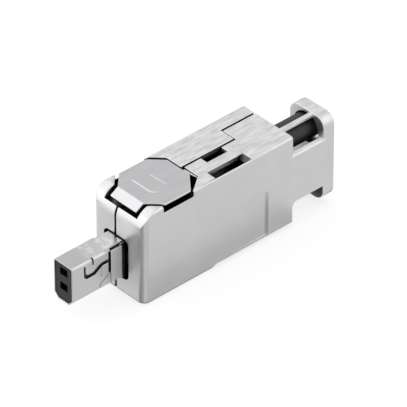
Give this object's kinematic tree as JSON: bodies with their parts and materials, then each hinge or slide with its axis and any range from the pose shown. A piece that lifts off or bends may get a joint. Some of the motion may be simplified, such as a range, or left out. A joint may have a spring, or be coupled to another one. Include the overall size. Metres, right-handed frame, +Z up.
{
  "type": "single pair ethernet plug",
  "caption": "Narrow die-cast cable plug with a small rectangular contact tongue, an eight-sided release button on top and a cable plate on a short neck.",
  "frame": {"origin": "middle of the plug's length and width, at the level of its bottom edge", "axes": "+X toward the cable, -X toward the plug face, +Y to the far side, +Z up through the release button"},
  "size_m": [0.0462, 0.0104, 0.0154],
  "materials": {
    "die_cast": "satin nickel-plated die-cast zinc",
    "button_metal": "satin nickel-plated die-cast zinc",
    "sheet_steel": "bright tin-plated sheet",
    "contact_brass": "gold-plated",
    "black_plastic": "moulded, matt",
    "soft_black": "matt",
    "spring_wire": "drawn wire"
  },
  "bodies": {
    "plug": {"housing_near_half": "die_cast", "housing_far_half": "die_cast", "shield_collar": "die_cast", "contact_insert": "black_plastic", "contact_upper": "contact_brass", "contact_lower": "contact_brass", "contact_carrier": "black_plastic", "wire_cap": "black_plastic", "plug_shell": "sheet_steel", "shield_clip": "sheet_steel", "cable_sleeve": "soft_black", "button_spring": "spring_wire", "slider_spring": "spring_wire"},
    "button": {"release_button": "button_metal"},
    "slider": {"latch_slider": "black_plastic"}
  },
  "joints": [
    {"name": "button_press", "type": "slide", "parent": "plug", "child": "button", "axis": [0, 0, -1], "range_m": [0, 0.0009], "stiffness_N_per_m": 600, "deforming": ["button_spring"]},
    {"name": "latch_release", "type": "slide", "parent": "plug", "child": "slider", "axis": [-1, 0, 0], "range_m": [0, 0.0009], "stiffness_N_per_m": 150, "deforming": ["slider_spring"]}
  ],
  "couplings": [
    {"joint": "latch_release", "follows": "button_press", "ratio": 1}
  ]
}
